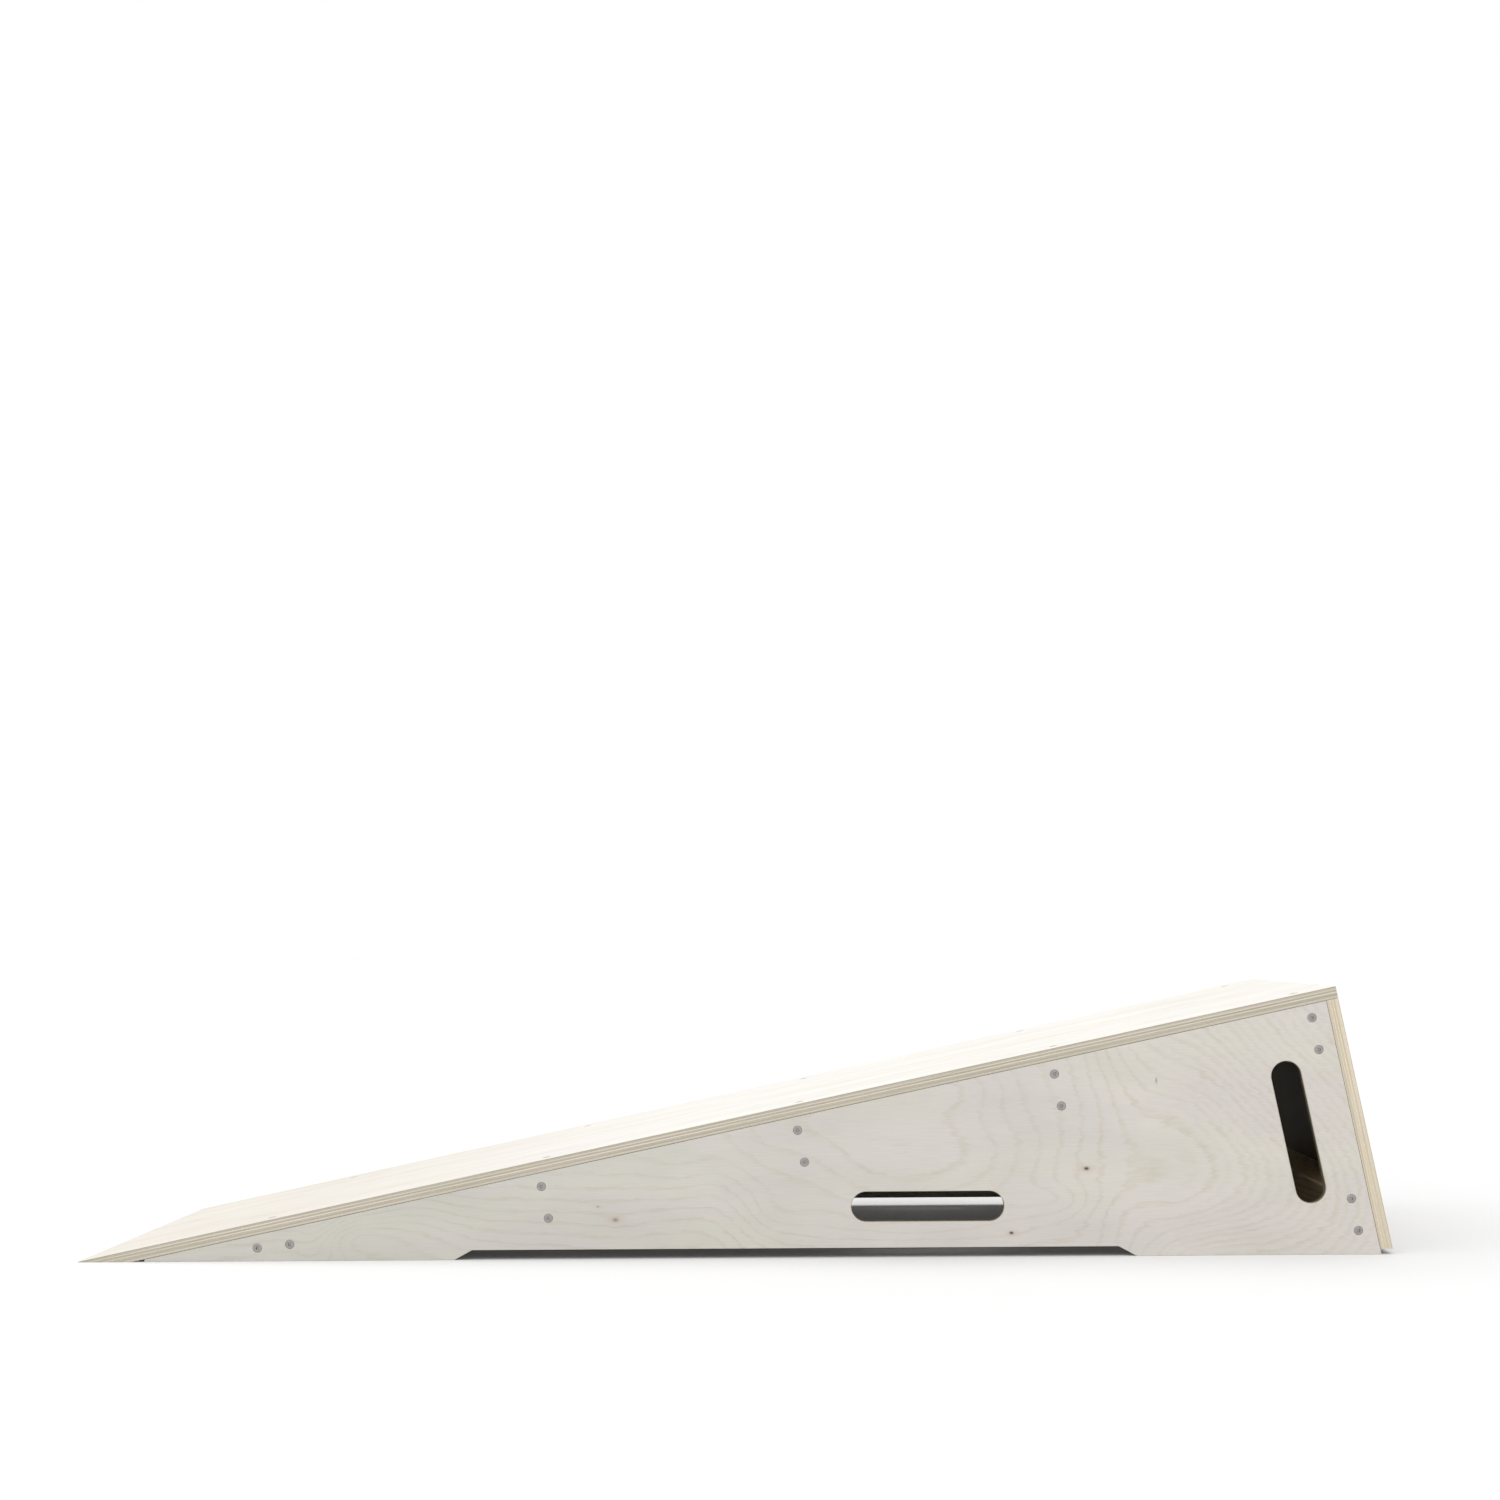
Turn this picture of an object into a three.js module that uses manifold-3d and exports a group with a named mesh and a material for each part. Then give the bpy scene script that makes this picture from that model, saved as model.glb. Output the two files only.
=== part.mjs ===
// Free-standing plywood wedge ramp: a flat deck on two side panels, a back panel,
// five cross battens and a nose block, all held by countersunk wood screws.
//
// Millimetres, +Z up. The deck rises towards +X from a feather edge on the floor.
// The floor is z = 0, and the origin is under the middle of the whole ramp.
import * as THREE from 'three';
import { mergeVertices, toCreasedNormals } from 'three/addons/utils/BufferGeometryUtils.js';
import Module from 'manifold-3d';

const wasm = await Module();
wasm.setup();

// Overall size
const rampHeight = 260; // floor to the deck's upper rear edge
const deckLength = 1250; // up the slope, half of a standard sheet
const rampWidth = 500;

// Plywood: nine-ply birch sold as 12 mm
const panelThickness = 11.5;
const featherLip = 0.6; // what is left of the deck's edge at the floor
const jointGap = 0.3; // between pieces that are screwed together

// Side panels
const sideFrontHeight = 2.3; // upright of a side's blunt front end
const footNotchStart = 367; // feather edge to the notch, at the floor
const footNotchLength = 662; // at the floor
const footNotchHeight = 9.4;
const footNotchRun = 17.2; // floor length of each chamfered end

// Hand slots
const slotWidth = 29;
const levelSlotLength = 148;
const levelSlotDistance = 827; // feather edge to the middle of the slot
const levelSlotHeight = 49.3; // floor to the middle of the slot
const rearSlotLength = 140;
const rearSlotSetback = 4.7; // slot to the front of the rear battens
const slotRimEase = 0.6; // sanded off a slot's rim on both faces, for the hand

// Planed timber for the battens
const battenThickness = 34;
const battenDepth = 58;
const battenEase = 1.5; // arris taken off each long edge
const middleBattens = 3; // evenly spaced, from the first one to the rear pair
const firstBattenDistance = 457; // up the deck to the middle of the lowest batten
const lowerBattenClearance = 6.8; // floor to the lower rear batten
const noseBlockDistance = 191; // feather edge to the middle of the block, along the floor
const noseBlockWidth = 58;

// Back panel
const backClearance = 5.5; // floor to its level lower end

// Countersunk wood screws with a six-lobe drive
const headDiameter = 8.5;
const headRim = 0.4; // upright edge of the head above its 90 degree cone
const headSink = 0.2; // how far a head lies below the wood
const threadDiameter = 4.5;
const pointLength = 5;
const sideScrewLength = 45;
const deckScrewLength = 35;
const backScrewLength = 35;
const driveDiameter = 3.9;
const driveDepth = 2;
const driveWaistShare = 0.72; // valley of a lobe, of the drive's radius
const driveLobes = 6;
const holeClearance = 0.3; // around a screw, and past its point
const roundSides = 12;
const arcSteps = 6; // curve steps for a quarter of a slot's round end
const creaseAngle = Math.PI / 5; // facets that meet flatter than this shade as one curve

// Screw pattern
const pairSpacing = 31.6; // the two screws in a batten's end
const pairShares = [-0.5, 0.5]; // of the spacing, from the batten's middle
const deckScrewInset = 32; // side edge of the deck to its screws
const deckScrewOffset = 7; // beside the batten's middle, clear of the end screws
const backScrewShare = 0.25; // of the width, from the middle to a back screw

const cutOverrun = 2; // how far a cutter passes out of the wood

// The slope, and the frame of sizes that lies on it
const slopeAngle = Math.asin((rampHeight - featherLip) / deckLength);
const slopeSin = Math.sin(slopeAngle);
const slopeCos = Math.cos(slopeAngle);
const slopeTan = Math.tan(slopeAngle);
const up = new THREE.Vector3(0, 0, 1);
const uphill = new THREE.Vector3(slopeCos, 0, slopeSin);
const deckNormal = new THREE.Vector3(-slopeSin, 0, slopeCos);

// A point of the side view: so far up the deck, so far below its upper face.
function onSlope(along, below) {
  return new THREE.Vector2(
    along * slopeCos + below * slopeSin,
    featherLip + along * slopeSin - below * slopeCos
  );
}

// Height of a line that runs so far below the deck's upper face, over the floor at x.
function heightBelowDeck(x, below) {
  return featherLip + x * slopeTan - below / slopeCos;
}

// Distance over the floor at which that line reaches a height.
function distanceAtHeight(height, below) {
  return (height - featherLip + below / slopeCos) / slopeTan;
}

// How far down a line square to the deck, so far up it, reaches a height.
function depthAtHeight(along, height) {
  return (featherLip + along * slopeSin - height) / slopeCos;
}

// Levels that several pieces share
const undersideDepth = panelThickness + jointGap;
const backInnerFace = deckLength - panelThickness;
const rearBattenDistance = backInnerFace - jointGap - battenThickness / 2;
const rearBattenFront = rearBattenDistance - battenThickness / 2;
const battenSpacing = (rearBattenDistance - firstBattenDistance) / middleBattens;
const upperBattenDepth = undersideDepth + battenDepth / 2;
const lowerBattenDepth = depthAtHeight(rearBattenFront, lowerBattenClearance) - battenDepth / 2;
const battenLength = rampWidth - (panelThickness + jointGap) * 2;
const sideMiddle = rampWidth / 2 - panelThickness / 2;
const overallLength = onSlope(deckLength, depthAtHeight(deckLength, backClearance)).x;

// Solids
function toSolid(geometry) {
  const bare = geometry.clone();
  bare.deleteAttribute('normal');
  bare.deleteAttribute('uv');
  const merged = mergeVertices(bare);
  const corners = merged.index.array;
  const kept = [];
  for (let i = 0; i < corners.length; i += 3) {
    const [a, b, c] = [corners[i], corners[i + 1], corners[i + 2]];
    if (a !== b && b !== c && c !== a) kept.push(a, b, c);
  }
  return new wasm.Manifold(new wasm.Mesh({
    numProp: 3,
    vertProperties: new Float32Array(merged.attributes.position.array),
    triVerts: new Uint32Array(kept)
  }));
}

function toGeometry(solid) {
  const mesh = solid.getMesh();
  const geometry = new THREE.BufferGeometry();
  geometry.setAttribute('position', new THREE.BufferAttribute(mesh.vertProperties, mesh.numProp));
  geometry.setIndex(new THREE.BufferAttribute(mesh.triVerts, 1));
  return toCreasedNormals(geometry, creaseAngle);
}

// Extrudes a side view across the ramp, centred on a distance from the middle plane.
function acrossRamp(shape, width, middle = 0) {
  const geometry = new THREE.ExtrudeGeometry(shape, {
    depth: width,
    bevelEnabled: false,
    curveSegments: arcSteps
  });
  geometry.rotateX(Math.PI / 2);
  geometry.translate(0, middle + width / 2, 0);
  return toSolid(geometry);
}

// Takes the same short length off both edges at each corner of an outline.
function easedShape(corners, ease) {
  const points = corners.flatMap((corner, i) => {
    const before = corners[(i + corners.length - 1) % corners.length];
    const after = corners[(i + 1) % corners.length];
    return [before, after].map((other) => {
      const step = other.clone().sub(corner).setLength(ease);
      return corner.clone().add(step);
    });
  });
  return new THREE.Shape(points);
}

// A slot with full round ends, in the side view.
function slotShape(middle, length, angle) {
  const radius = slotWidth / 2;
  const reach = new THREE.Vector2(length / 2 - radius, 0).rotateAround(new THREE.Vector2(), angle);
  const quarter = Math.PI / 2;
  const turned = angle + Math.PI;
  const shape = new THREE.Shape();
  shape.absarc(middle.x + reach.x, middle.y + reach.y, radius, angle - quarter, angle + quarter);
  shape.absarc(middle.x - reach.x, middle.y - reach.y, radius, turned - quarter, turned + quarter);
  shape.closePath();
  return shape;
}

// Cuts a slot through a side panel and eases its rim on both faces.
function slotCutter(shape, middle) {
  const through = acrossRamp(shape, panelThickness + cutOverrun * 2, middle);
  return [-1, 1].reduce((cutter, face) => {
    const rim = new THREE.ExtrudeGeometry(shape, {
      depth: cutOverrun,
      bevelThickness: slotRimEase,
      bevelSize: slotRimEase,
      bevelSegments: 1,
      curveSegments: arcSteps
    });
    rim.rotateX(Math.PI / 2);
    const reach = (panelThickness + cutOverrun) / 2;
    rim.translate(0, middle + face * reach + cutOverrun / 2, 0);
    return cutter.add(toSolid(rim));
  }, through);
}

// Screws and their holes
function turned(profile) {
  const geometry = new THREE.LatheGeometry(profile, roundSides);
  return geometry.rotateX(Math.PI / 2);
}

// Upright along z, its head's upper face just under z = 0.
function screwSolid(length) {
  const headRadius = headDiameter / 2;
  const threadRadius = threadDiameter / 2;
  const rimBottom = -headSink - headRim;
  const body = toSolid(turned([
    new THREE.Vector2(0, -length),
    new THREE.Vector2(threadRadius, pointLength - length),
    new THREE.Vector2(threadRadius, rimBottom - headRadius + threadRadius),
    new THREE.Vector2(headRadius, rimBottom),
    new THREE.Vector2(headRadius, -headSink),
    new THREE.Vector2(0, -headSink)
  ]));
  return body.subtract(driveRecess());
}

// The six-lobe drive: its outline swings in and out around the axis.
function driveRecess() {
  const outline = [];
  for (let i = 0; i < driveLobes * 2; i += 1) {
    const radius = (driveDiameter / 2) * (i % 2 ? driveWaistShare : 1);
    const turn = (i * Math.PI) / driveLobes;
    outline.push(new THREE.Vector2(radius * Math.cos(turn), radius * Math.sin(turn)));
  }
  const geometry = new THREE.ExtrudeGeometry(new THREE.Shape(outline), {
    depth: driveDepth + cutOverrun,
    bevelEnabled: false
  });
  geometry.translate(0, 0, -headSink - driveDepth);
  return toSolid(geometry);
}

// The hole for a screw: countersink, clearance hole and drill point.
function drillGeometry(length) {
  const mouthRadius = headDiameter / 2 + holeClearance;
  const holeRadius = threadDiameter / 2 + holeClearance;
  const rimBottom = -headSink - headRim;
  return turned([
    new THREE.Vector2(0, -length - holeClearance - holeRadius),
    new THREE.Vector2(holeRadius, -length - holeClearance),
    new THREE.Vector2(holeRadius, rimBottom - mouthRadius + holeRadius),
    new THREE.Vector2(mouthRadius, rimBottom),
    new THREE.Vector2(mouthRadius, cutOverrun),
    new THREE.Vector2(0, cutOverrun)
  ]);
}

// Every screw: its name, the middle of its mouth, which way its head faces, its length,
// and the panel and the timber that it holds together.
const hands = [
  { name: 'right', sign: -1 },
  { name: 'left', sign: 1 }
];
const battenRows = [
  ...['low', 'mid', 'high'].map((name, row) => ({
    name,
    along: firstBattenDistance + row * battenSpacing,
    depth: upperBattenDepth,
    deckScrewShift: deckScrewOffset
  })),
  {
    name: 'rear_upper',
    along: rearBattenDistance,
    depth: upperBattenDepth,
    deckScrewShift: -deckScrewOffset,
    backScrews: 'upper'
  },
  {
    name: 'rear_lower',
    along: rearBattenDistance,
    depth: lowerBattenDepth,
    backScrews: 'lower'
  }
];
const battenName = (row) => `batten_${row.name}`;

// A batten has two screws in each end, one over the other, square to the deck.
function battenEndScrews(hand) {
  return battenRows.flatMap((row) => pairShares.map((share, place) => {
    const spot = onSlope(row.along, row.depth + share * pairSpacing);
    return {
      name: `${hand.name}_screw_${row.name}_${place + 1}`,
      mouth: new THREE.Vector3(spot.x, (hand.sign * rampWidth) / 2, spot.y),
      facing: new THREE.Vector3(0, hand.sign, 0),
      length: sideScrewLength,
      panel: `side_panel_${hand.name}`,
      timber: battenName(row)
    };
  }));
}

// The nose block's two lie beside each other, half way up the block where each one is.
function noseEndScrews(hand) {
  return pairShares.map((share, place) => {
    const x = noseBlockDistance + share * pairSpacing;
    const z = heightBelowDeck(x, undersideDepth) / 2;
    return {
      name: `${hand.name}_screw_nose_${place + 1}`,
      mouth: new THREE.Vector3(x, (hand.sign * rampWidth) / 2, z),
      facing: new THREE.Vector3(0, hand.sign, 0),
      length: sideScrewLength,
      panel: `side_panel_${hand.name}`,
      timber: 'nose_block'
    };
  });
}

// Deck screws stand beside a batten's middle, clear of the screws in its ends.
function deckScrews(hand) {
  const rows = battenRows.filter((row) => row.deckScrewShift).map((row) => ({
    name: row.name,
    timber: battenName(row),
    along: row.along + row.deckScrewShift
  }));
  rows.unshift({ name: 'nose', timber: 'nose_block', along: noseBlockDistance * slopeCos });
  return rows.map((row) => {
    const spot = onSlope(row.along, 0);
    const y = hand.sign * (rampWidth / 2 - deckScrewInset);
    return {
      name: `deck_screw_${row.name}_${hand.name}`,
      mouth: new THREE.Vector3(spot.x, y, spot.y),
      facing: deckNormal,
      length: deckScrewLength,
      panel: 'deck_panel',
      timber: row.timber
    };
  });
}

function backScrews(hand) {
  return battenRows.filter((row) => row.backScrews).map((row) => {
    const spot = onSlope(deckLength, row.depth);
    return {
      name: `back_screw_${row.backScrews}_${hand.name}`,
      mouth: new THREE.Vector3(spot.x, hand.sign * rampWidth * backScrewShare, spot.y),
      facing: uphill,
      length: backScrewLength,
      panel: 'back_panel',
      timber: battenName(row)
    };
  });
}

const screws = hands.flatMap((hand) => [
  ...noseEndScrews(hand),
  ...battenEndScrews(hand),
  ...deckScrews(hand),
  ...backScrews(hand)
]);

function screwTurn(screw) {
  return new THREE.Quaternion().setFromUnitVectors(up, screw.facing);
}

// Drills a panel or a timber for every screw that holds it.
function drilled(solid, name) {
  return screws
    .filter((screw) => screw.panel === name || screw.timber === name)
    .reduce((piece, screw) => {
      const drill = drillGeometry(screw.length);
      drill.applyQuaternion(screwTurn(screw));
      drill.translate(screw.mouth.x, screw.mouth.y, screw.mouth.z);
      return piece.subtract(toSolid(drill));
    }, solid);
}

// Panels
// The deck's underside is planed level at the nose, to lie flat on the floor.
function deckPanel() {
  const bevelLength = distanceAtHeight(0, panelThickness);
  const shape = new THREE.Shape([
    new THREE.Vector2(0, 0),
    new THREE.Vector2(bevelLength, 0),
    onSlope(deckLength, panelThickness),
    onSlope(deckLength, 0),
    new THREE.Vector2(0, featherLip)
  ]);
  return acrossRamp(shape, rampWidth);
}

function sidePanel(hand) {
  const front = distanceAtHeight(sideFrontHeight, undersideDepth);
  const rear = backInnerFace - jointGap;
  const notchEnd = footNotchStart + footNotchLength;
  const shape = new THREE.Shape([
    new THREE.Vector2(front, 0),
    new THREE.Vector2(footNotchStart, 0),
    new THREE.Vector2(footNotchStart + footNotchRun, footNotchHeight),
    new THREE.Vector2(notchEnd - footNotchRun, footNotchHeight),
    new THREE.Vector2(notchEnd, 0),
    onSlope(rear, depthAtHeight(rear, 0)),
    onSlope(rear, undersideDepth),
    new THREE.Vector2(front, sideFrontHeight)
  ]);
  const levelMiddle = new THREE.Vector2(levelSlotDistance, levelSlotHeight);
  const rearMiddle = onSlope(
    rearBattenFront - rearSlotSetback - slotWidth / 2,
    (upperBattenDepth + lowerBattenDepth) / 2
  );
  const slots = [
    slotShape(levelMiddle, levelSlotLength, 0),
    slotShape(rearMiddle, rearSlotLength, slopeAngle - Math.PI / 2)
  ];
  const middle = hand.sign * sideMiddle;
  return slots.reduce(
    (panel, slot) => panel.subtract(slotCutter(slot, middle)),
    acrossRamp(shape, panelThickness, middle)
  );
}

// Square to the deck and under its rear edge, cut level above the floor.
function backPanel() {
  const innerFace = backInnerFace;
  const shape = new THREE.Shape([
    onSlope(innerFace, depthAtHeight(innerFace, backClearance)),
    onSlope(deckLength, depthAtHeight(deckLength, backClearance)),
    onSlope(deckLength, undersideDepth),
    onSlope(innerFace, undersideDepth)
  ]);
  return acrossRamp(shape, rampWidth);
}

// Timber
function batten(row) {
  const [front, rear] = [row.along - battenThickness / 2, row.along + battenThickness / 2];
  const [top, bottom] = [row.depth - battenDepth / 2, row.depth + battenDepth / 2];
  const corners = [
    onSlope(front, bottom),
    onSlope(rear, bottom),
    onSlope(rear, top),
    onSlope(front, top)
  ];
  return acrossRamp(easedShape(corners, battenEase), battenLength);
}

// A batten laid flat on the floor, its upper face planed to the deck.
function noseBlock() {
  const front = noseBlockDistance - noseBlockWidth / 2;
  const rear = noseBlockDistance + noseBlockWidth / 2;
  const corners = [
    new THREE.Vector2(front, 0),
    new THREE.Vector2(rear, 0),
    new THREE.Vector2(rear, heightBelowDeck(rear, undersideDepth)),
    new THREE.Vector2(front, heightBelowDeck(front, undersideDepth))
  ];
  return acrossRamp(easedShape(corners, battenEase), battenLength);
}

// Finishes
const birchPlywood = () => new THREE.MeshStandardMaterial({
  color: 0xd9d0c2,
  roughness: 0.55,
  metalness: 0
});
const planedPine = () => new THREE.MeshStandardMaterial({
  color: 0xd8bd92,
  roughness: 0.7,
  metalness: 0
});
const zincSteel = () => new THREE.MeshStandardMaterial({
  color: 0x9c9c9a,
  roughness: 0.35,
  metalness: 1
});

// Assembly
const ramp = new THREE.Group();
ramp.name = 'wedge_ramp';
ramp.position.x = -overallLength / 2;

function addPiece(name, solid, material) {
  const mesh = new THREE.Mesh(toGeometry(solid), material);
  mesh.name = name;
  ramp.add(mesh);
  return mesh;
}

addPiece('deck_panel', drilled(deckPanel(), 'deck_panel'), birchPlywood());
addPiece('back_panel', drilled(backPanel(), 'back_panel'), birchPlywood());
for (const hand of hands) {
  const name = `side_panel_${hand.name}`;
  addPiece(name, drilled(sidePanel(hand), name), birchPlywood());
}
addPiece('nose_block', drilled(noseBlock(), 'nose_block'), planedPine());
for (const row of battenRows) {
  addPiece(battenName(row), drilled(batten(row), battenName(row)), planedPine());
}
for (const screw of screws) {
  const mesh = addPiece(screw.name, screwSolid(screw.length), zincSteel());
  mesh.position.copy(screw.mouth);
  mesh.quaternion.copy(screwTurn(screw));
}

export default ramp;
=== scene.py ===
import math

import bmesh
import bpy
from mathutils import Matrix, Vector


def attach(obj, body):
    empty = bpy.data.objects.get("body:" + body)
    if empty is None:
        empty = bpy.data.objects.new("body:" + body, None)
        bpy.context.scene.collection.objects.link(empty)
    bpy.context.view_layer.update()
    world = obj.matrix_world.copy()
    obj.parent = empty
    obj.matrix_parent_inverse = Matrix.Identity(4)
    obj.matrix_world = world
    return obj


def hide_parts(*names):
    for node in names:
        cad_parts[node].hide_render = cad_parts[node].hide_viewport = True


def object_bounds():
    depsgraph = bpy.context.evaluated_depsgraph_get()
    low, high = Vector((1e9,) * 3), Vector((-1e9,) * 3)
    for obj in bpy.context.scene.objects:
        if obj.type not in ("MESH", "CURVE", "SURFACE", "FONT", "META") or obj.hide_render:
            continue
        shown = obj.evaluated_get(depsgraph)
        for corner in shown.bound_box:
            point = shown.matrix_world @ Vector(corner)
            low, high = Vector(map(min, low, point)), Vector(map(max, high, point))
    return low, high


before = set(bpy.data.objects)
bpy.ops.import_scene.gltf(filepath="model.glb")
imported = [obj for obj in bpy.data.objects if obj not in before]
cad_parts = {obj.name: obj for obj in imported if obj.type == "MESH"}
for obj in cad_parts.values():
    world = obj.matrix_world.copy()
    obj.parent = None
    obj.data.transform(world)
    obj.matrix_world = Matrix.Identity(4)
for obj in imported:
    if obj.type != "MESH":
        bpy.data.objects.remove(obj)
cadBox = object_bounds()
print("frame loaded with", len(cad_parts), "pieces")

metre = 0.001  # one millimetre

# The ramp's own sizes in millimetres, as in the part's source
ramp = {
    "height": 260,
    "deckLength": 1250,
    "width": 500,
    "panel": 11.5,
    "featherLip": 0.6,
    "gap": 0.3,
    "backClearance": 5.5,  # of the back panel's lower end above the floor
}
slopeAngle = math.asin((ramp["height"] - ramp["featherLip"]) / ramp["deckLength"])
slopeSin, slopeCos, slopeTan = math.sin(slopeAngle), math.cos(slopeAngle), math.tan(slopeAngle)
halfWidth = ramp["width"] / 2
undersideDepth = ramp["panel"] + ramp["gap"]

forward = Vector((1, 0, 0))
sideways = Vector((0, 1, 0))
upward = Vector((0, 0, 1))
uphill = Vector((slopeCos, 0, slopeSin))
deckNormal = Vector((-slopeSin, 0, slopeCos))
tip = Vector((cadBox[0].x, 0, 0))  # feather edge, on the floor
deckStart = tip + upward * ramp["featherLip"] * metre


# A point of the side view, so far up the deck and so far below its upper face
def onSlope(along, below):
    return (
        along * slopeCos + below * slopeSin,
        ramp["featherLip"] + along * slopeSin - below * slopeCos,
    )


def heightBelowDeck(x, below):
    return ramp["featherLip"] + x * slopeTan - below / slopeCos


def distanceAtHeight(height, below):
    return (height - ramp["featherLip"] + below / slopeCos) / slopeTan


def depthAtHeight(along, height):
    return (ramp["featherLip"] + along * slopeSin - height) / slopeCos


# Turns a piece's own millimetres into the ramp's metres
def placement(origin, xAxis, yAxis, zAxis):
    turn = Matrix((xAxis, yAxis, zAxis)).transposed().to_4x4()
    return Matrix.Translation(origin) @ turn @ Matrix.Scale(metre, 4)


# Mesh making. Pieces are drawn flat, in their own millimetres: z = 0 is the outer face.

def plate(corners, thickness):
    bm = bmesh.new()
    outline = bm.faces.new([bm.verts.new((x, y, 0)) for x, y in corners])
    lower = bmesh.ops.extrude_face_region(bm, geom=[outline])["geom"]
    lowerVerts = [item for item in lower if isinstance(item, bmesh.types.BMVert)]
    bmesh.ops.translate(bm, vec=(0, 0, -thickness), verts=lowerVerts)
    bmesh.ops.recalc_face_normals(bm, faces=bm.faces)
    return bm


# Planes a piece off square to a direction, below a point
def planeOff(bm, point, direction):
    cut = bmesh.ops.bisect_plane(
        bm, geom=bm.verts[:] + bm.edges[:] + bm.faces[:], dist=0.0001,
        plane_co=point, plane_no=direction, clear_inner=True)["geom_cut"]
    sawn = [item for item in cut if isinstance(item, bmesh.types.BMEdge)]
    bmesh.ops.edgeloop_fill(bm, edges=sawn)
    bmesh.ops.recalc_face_normals(bm, faces=bm.faces)


flatAngle = math.radians(20)  # edges between faces that meet flatter than this stay sharp
parallel = 0.99  # the least cosine between directions that count as one
flatCount = 8  # so many of the largest faces may be broken by openings


# Rounds off the edges that a test picks out
def easeEdges(bm, width, steps, test):
    edges = [edge for edge in bm.edges if edge.calc_face_angle(0) > flatAngle and test(edge)]
    eased = bmesh.ops.bevel(
        bm, geom=edges, offset=width, offset_type="OFFSET", affect="EDGES",
        segments=steps, profile=0.5, material=-1, clamp_overlap=True)
    for face in eased["faces"]:
        face.smooth = True


# One ring of a turned or cut form. Reach draws it out along x, lobes press a star into it.
def ring(bm, place, radius, depth, steps, reach=0, lobes=0, lobeShare=0):
    verts = bmesh.ops.create_circle(bm, cap_ends=False, radius=radius, segments=steps)["verts"]
    halfStep = Matrix.Rotation(math.pi / steps, 3, "Z")
    bmesh.ops.rotate(bm, verts=verts, cent=(0, 0, 0), matrix=halfStep)
    for vert in verts:
        vert.co *= 1 + lobeShare * math.cos(lobes * math.atan2(vert.co.y, vert.co.x))
        vert.co.x += math.copysign(reach, vert.co.x)
        vert.co.z = -depth
    bmesh.ops.transform(bm, matrix=place, verts=verts)
    # in a steady order, which keeps the mesh nearly the same from run to run
    return list(dict.fromkeys(edge for vert in verts for edge in vert.link_edges))


def bridgeRings(bm, rings, finishes=()):
    for step, (upper, lower) in enumerate(zip(rings, rings[1:])):
        for face in bmesh.ops.bridge_loops(bm, edges=upper + lower)["faces"]:
            face.smooth = True
            face.material_index = finishes[step] if finishes else 0


# Cuts openings and fills the flat faces again around them
def cutOpenings(bm, openings):
    flats = sorted(bm.faces, key=lambda face: -face.calc_area())[:flatCount]
    mouths = {}
    for opening in openings:
        place = opening["place"]
        rings = [
            ring(bm, place, radius, depth, opening["steps"], opening.get("reach", 0))
            for radius, depth in opening["profile"]
        ]
        bridgeRings(bm, rings, opening.get("finishes", ()))
        axis = (place.to_3x3() @ Vector((0, 0, 1))).normalized()
        ends = [(rings[0], opening["profile"][0][1])]
        if opening.get("blind"):
            bmesh.ops.edgeloop_fill(bm, edges=rings[-1])
        else:
            ends.append((rings[-1], opening["profile"][-1][1]))
        for edges, depth in ends:
            middle = place @ Vector((0, 0, -depth))
            across = [face for face in flats if abs(face.normal.dot(axis)) > parallel]
            face = min(across, key=lambda face: abs((middle - face.verts[0].co).dot(face.normal)))
            mouths.setdefault(face, []).extend(edges)
    for face, edges in mouths.items():
        outline = face.edges[:]
        bmesh.ops.delete(bm, geom=[face], context="FACES_ONLY")
        bmesh.ops.triangle_fill(bm, use_beauty=True, use_dissolve=False, edges=outline + edges)


# Turns the mesh into a piece that rides on the ramp and stands for its nodes
def addPiece(name, bm, place, materials, node):
    bmesh.ops.transform(bm, matrix=place, verts=bm.verts)
    bmesh.ops.recalc_face_normals(bm, faces=bm.faces)
    loose = [edge for edge in bm.edges if len(edge.link_faces) != 2]
    if loose:
        print("OPEN MESH", name, len(loose))
    mesh = bpy.data.meshes.new(name)
    bm.to_mesh(mesh)
    bm.free()
    for material in materials:
        mesh.materials.append(material)
    piece = bpy.data.objects.new(name, mesh)
    bpy.context.scene.collection.objects.link(piece)
    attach(piece, "root")
    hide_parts(node)
    return piece


# Materials

def toLinear(hexColour):
    channels = [int(hexColour[i:i + 2], 16) / 255 for i in (1, 3, 5)]
    return [c / 12.92 if c <= 0.04045 else ((c + 0.055) / 1.055) ** 2.4 for c in channels] + [1]


# Adds a node, gives it its settings and links, and hands back one of its outputs
def addNode(tree, kind, settings=None, links=None, output=0):
    node = tree.nodes.new("ShaderNode" + kind)
    for key, value in (settings or {}).items():
        if isinstance(key, int) or key in node.inputs:
            node.inputs[key].default_value = value
        else:
            setattr(node, key, value)
    for key, socket in (links or {}).items():
        tree.links.new(socket, node.inputs[key])
    return node.outputs[output] if len(node.outputs) else node


# Does one sum in the node tree. Each term is a socket or a plain value.
def reckon(tree, operation, *terms, kind="Math", output=0):
    links = {key: term for key, term in enumerate(terms) if isinstance(term, bpy.types.NodeSocket)}
    values = {key: term for key, term in enumerate(terms) if key not in links}
    return addNode(tree, kind, {"operation": operation, **values}, links, output)


def reckonVectors(tree, operation, *terms, output=0):
    return reckon(tree, operation, *terms, kind="VectorMath", output=output)


# Brings a value from one range into another and holds it there
def remap(tree, value, before=(0, 1), after=(0, 1), smooth=False):
    return addNode(tree, "MapRange", {
        "interpolation_type": "SMOOTHSTEP" if smooth else "LINEAR",
        "From Min": before[0], "From Max": before[1], "To Min": after[0], "To Max": after[1],
    }, {"Value": value})


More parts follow.
